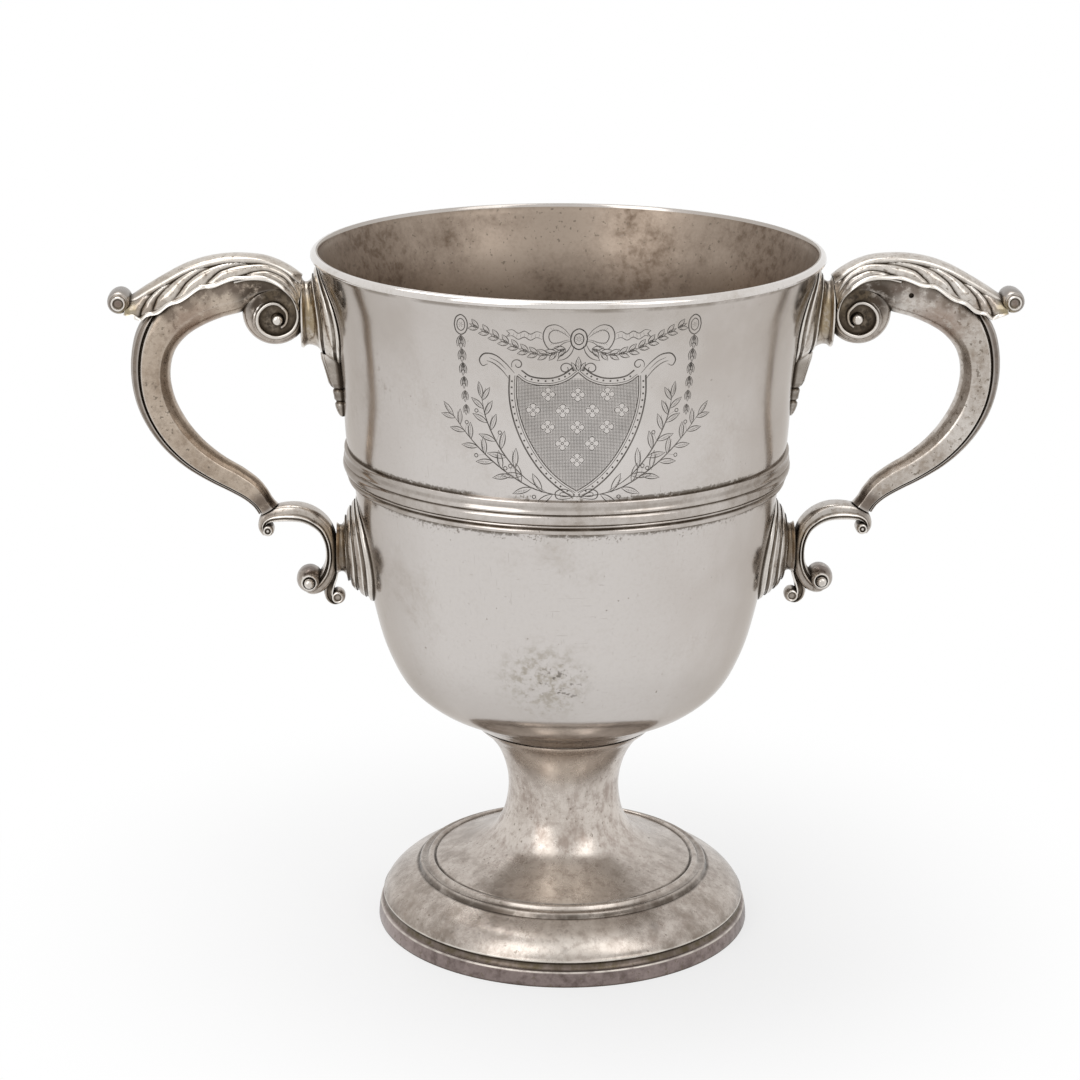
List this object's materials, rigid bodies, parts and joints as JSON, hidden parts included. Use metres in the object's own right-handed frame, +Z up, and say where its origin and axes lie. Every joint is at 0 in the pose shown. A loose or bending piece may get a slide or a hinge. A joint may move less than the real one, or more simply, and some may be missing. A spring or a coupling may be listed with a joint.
{
  "type": "two-handled cup",
  "caption": "Deep silver cup: a tapering bowl with a moulded girdle and a flared lip on a spool-shaped pedestal foot, with leaf-capped scroll handles on opposite sides.",
  "frame": {"origin": "on the floor, under the middle of the foot", "axes": "+Z up through the middle of the bowl; +X through the handles, towards the one at the viewer's right; -Y towards the viewer, the engraved front"},
  "size_m": [0.2248, 0.1258, 0.175],
  "materials": {
    "body_silver": "old polished sterling silver, finely scratched, faint brown tarnish",
    "foot_silver": "old polished sterling silver, warmer and more mottled, dark in the grooves",
    "handle_silver": "cast silver, brown tarnish, near black in the recesses, bright on worn edges"
  },
  "bodies": {
    "root": {"bowl": "body_silver", "lip_wire": "body_silver", "girdle_wire": "body_silver", "foot": "foot_silver", "foot_ring": "foot_silver", "left_grip_front_half": "handle_silver", "left_grip_back_half": "handle_silver", "left_volute": "handle_silver", "left_spine_strip": "handle_silver", "left_leaf_cap": "handle_silver", "left_thumb_scroll": "handle_silver", "left_upper_socket": "handle_silver", "left_husk_drop": "handle_silver", "left_c_scroll": "handle_silver", "left_sprig": "handle_silver", "left_lower_socket": "handle_silver", "right_grip_front_half": "handle_silver", "right_grip_back_half": "handle_silver", "right_volute": "handle_silver", "right_spine_strip": "handle_silver", "right_leaf_cap": "handle_silver", "right_thumb_scroll": "handle_silver", "right_upper_socket": "handle_silver", "right_husk_drop": "handle_silver", "right_c_scroll": "handle_silver", "right_sprig": "handle_silver", "right_lower_socket": "handle_silver"}
  },
  "joints": []
}
